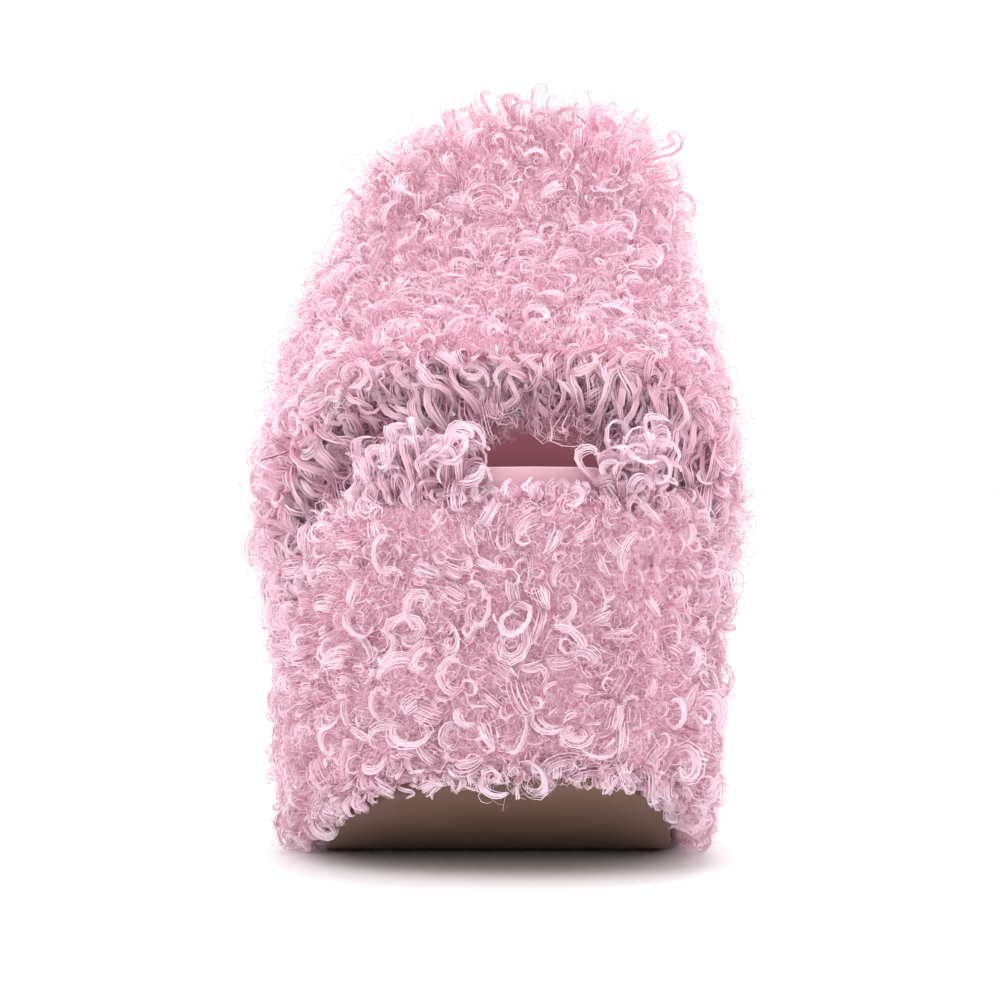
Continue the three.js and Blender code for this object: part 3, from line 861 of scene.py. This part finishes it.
# The soft footbed: foam and sock cover as one cushion that crowns between its glued edges.
def addFootbed():
    piece = copyOfNode("footbed_foam", "footbed_cushion")
    cover = copyOfNode("sock_cover", "footbedCoverCopy")
    makeActive(piece)
    cover.select_set(True)
    bpy.ops.object.join()
    applyModifier(piece, "REMESH", mode="VOXEL", voxel_size=pad["voxelSize"])
    start = np.array([v.co[:] for v in piece.data.vertices])
    glued = piece.vertex_groups.new(name="glued")
    for vertex in piece.data.vertices:
        if vertex.normal.z < 0.75:
            glued.add([vertex.index], 1.0, "REPLACE")
    makeActive(piece)
    cloth = piece.modifiers.new("Cloth", "CLOTH")
    cloth.settings.use_pressure = True
    cloth.settings.uniform_pressure_force = pad["pressure"]
    cloth.settings.effector_weights.gravity = 0
    cloth.settings.vertex_group_mass = "glued"
    cloth.point_cache.frame_end = pad["frames"]
    for frameNumber in range(1, pad["frames"] + 1):
        bpy.context.scene.frame_set(frameNumber)
    bpy.ops.object.modifier_apply(modifier=cloth.name)
    bpy.context.scene.frame_set(1)
    moved = np.array([v.co[:] for v in piece.data.vertices]) - start
    far = np.linalg.norm(moved, axis=1, keepdims=True)
    held = start + moved * np.minimum(1, pad["riseLimit"] / np.maximum(far, 1e-9))
    piece.data.vertices.foreach_set("co", held.ravel())
    applyModifier(piece, "SMOOTH", factor=0.5, iterations=4)
    applyModifier(piece, "SUBSURF", levels=1, render_levels=1)
    bpy.ops.object.shade_smooth()
    piece.data.materials.clear()
    # The cushion takes the dark wine microsuede: painted shade inside the toe tunnel.
    piece.data.materials.append(materials["paintedShadeMicrosuede"])
    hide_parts("footbed_foam", "sock_cover")
    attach(piece, "root")
    return piece


# The sock cover's upper edge as a closed loop of points, in order round the sole.
def footbedLoop():
    tops = {}
    for vertex in nodes["sock_cover"].data.vertices:
        key = (round(vertex.co.x / (0.1 * mm)), round(vertex.co.y / (0.1 * mm)))
        if key not in tops or vertex.co.z > tops[key].z:
            tops[key] = vertex.co.copy()
    return sorted(tops.values(), key=lambda place: math.atan2(place.y, place.x))


stitch = {
    "pitch": 4.2 * mm,
    "length": 3.0 * mm,
    "thickness": 0.55 * mm,
    "proud": 0.1 * mm,
    "castFrom": 0.3,  # above the whole slipper
}


def addStitches(name, places, directions):
    bpy.ops.mesh.primitive_uv_sphere_add(segments=6, ring_count=4, radius=0.5, location=(0, 0, 0))
    bead = bpy.context.object
    size = [stitch["thickness"], stitch["thickness"], stitch["length"]]
    shape = np.array([v.co[:] for v in bead.data.vertices]) * size
    faces = [list(face.vertices) for face in bead.data.polygons]
    bpy.data.objects.remove(bead)
    points, allFaces = [], []
    for place, direction in zip(places, directions):
        turn = np.array(Vector(direction).to_track_quat("Z", "Y").to_matrix())
        allFaces += [[len(points) + k for k in face] for face in faces]
        points += [tuple(point) for point in shape @ turn.T + place]
    mesh = bpy.data.meshes.new(name)
    mesh.from_pydata(points, [], allFaces)
    mesh.polygons.foreach_set("use_smooth", [True] * len(mesh.polygons))
    mesh.materials.append(materials["sewingThread"])
    piece = bpy.data.objects.new(name, mesh)
    bpy.context.scene.collection.objects.link(piece)
    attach(piece, "root")


# Points at an equal pitch along a closed loop, with the loop's direction at each.
def alongLoop(loop, pitch):
    places = np.array([point[:] for point in loop])
    steps = np.roll(places, -1, axis=0) - places
    lengths = np.linalg.norm(steps, axis=1)
    marks = np.concatenate([[0], np.cumsum(lengths)])
    total = marks[-1]
    count = round(total / pitch)
    at = (np.arange(count) + 0.5) * total / count
    closed = np.vstack([places, places[:1]])

    def pointsAt(distances):
        return np.stack([np.interp(distances, marks, closed[:, k]) for k in range(3)], axis=1)

    spots = pointsAt(at)
    return spots, unit(pointsAt((at + 0.2 * pitch) % total) - spots)


def addFootbedStitching(cushion):
    surface = treeOf([cushion])
    spots, directions = alongLoop(footbedLoop(), stitch["pitch"])
    inward = np.cross([0, 0, 1], directions)
    spots += inward * pad["stitchInset"]
    for spot in spots:
        above = Vector((spot[0], spot[1], stitch["castFrom"]))
        hit = surface.ray_cast(above, Vector((0, 0, -1)))[0]
        if hit is not None:
            spot[2] = hit.z + stitch["proud"]
    addStitches("footbed_stitching", spots, directions)


trim = {
    "soleRound": 0.5 * mm,
    "randRound": 0.45 * mm,
    "foldRound": 0.6 * mm,
    "liningFacet": 5 * mm,
}


def addTrim():
    outsole = copyAs("outsole", "outsole_moulded", "outsoleRubber")
    roundEdges(outsole, trim["soleRound"])
    rand = copyAs("footbed_rand", "footbed_rand_cloth", "paleMicrosuede")
    roundEdges(rand, trim["randRound"], 50)
    for end in ("toe", "throat"):
        binding = copyAs(f"{end}_edge_binding", f"{end}_binding_fold", "paleMicrosuede")
        applyModifier(
            binding, "BEVEL", width=trim["foldRound"], segments=3, limit_method="ANGLE", angle_limit=1.0
        )
        applyModifier(binding, "SUBSURF", levels=1, render_levels=1)
        bpy.ops.object.shade_smooth()
    # Dark rose lining: painted shade inside the vamp.
    lining = copyAs("vamp_lining", "vamp_lining_cloth", "paintedShadeLining")
    splitLongEdges(lining, trim["liningFacet"])
    applyModifier(lining, "SMOOTH", factor=0.4, iterations=3)
    bpy.ops.object.shade_smooth()
    print("trim done")


buildStudio()
fibreMaterial = makeFibreMaterial()
woolMaterial = makeWoolMaterial()
groups = {"fineGrain": makeGrainGroup(), "clothWeave": makeWeaveGroup()}
materials = {name: makeFinish(name) for name in finishes}
for nodeName, node in nodes.items():
    node.data.materials.clear()
    if nodeName in fleeceNodes:
        node.data.materials.append(woolMaterial)
    else:
        node.data.materials.append(materials[nodeFinishes.get(nodeName, "foamCells")])

addTrim()
cushion = addFootbed()
addFootbedStitching(cushion)
print("footbed done")

combed = {}
core = treeOf([nodes[name] for name in coreNodes])
undercoats = [addUndercoat(name, core) for name in fleeceNodes]
print("undercoats", sum(len(piece.data.polygons) for piece in undercoats))
addLocks(undercoats, bigLocks)
addLocks(undercoats, smallLocks)
addFringe(undercoats[2])
addToeCurls(undercoats[0])
addThroatCurls(undercoats[2])
addFuzz(undercoats, fuzz)
addFuzz(undercoats, wisps)
